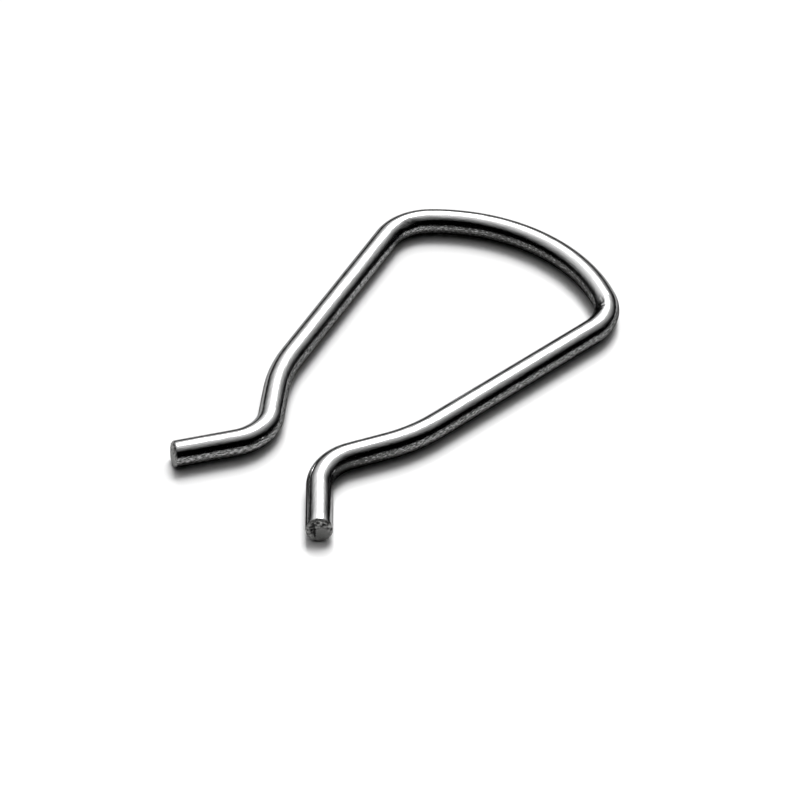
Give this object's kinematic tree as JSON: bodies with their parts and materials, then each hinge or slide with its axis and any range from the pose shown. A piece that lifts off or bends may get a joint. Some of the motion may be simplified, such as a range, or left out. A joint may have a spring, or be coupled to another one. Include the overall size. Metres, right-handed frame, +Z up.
{
  "type": "spring clip",
  "caption": "Bent round-wire spring clip lying flat: a bowed top, two converging legs, a narrow neck and two flared free tips.",
  "frame": {"origin": "on the surface that the clip lies on, under the middle of its outline", "axes": "+X across the clip, from its left leg to its right leg; +Y from the open tips towards the bow; +Z up, square to the plane that the wire is bent in"},
  "size_m": [0.0218, 0.0384, 0.002],
  "materials": {
    "spring_steel": "bright drawn, almost mirror"
  },
  "bodies": {
    "root": {"wire_clip": "spring_steel"}
  },
  "joints": []
}
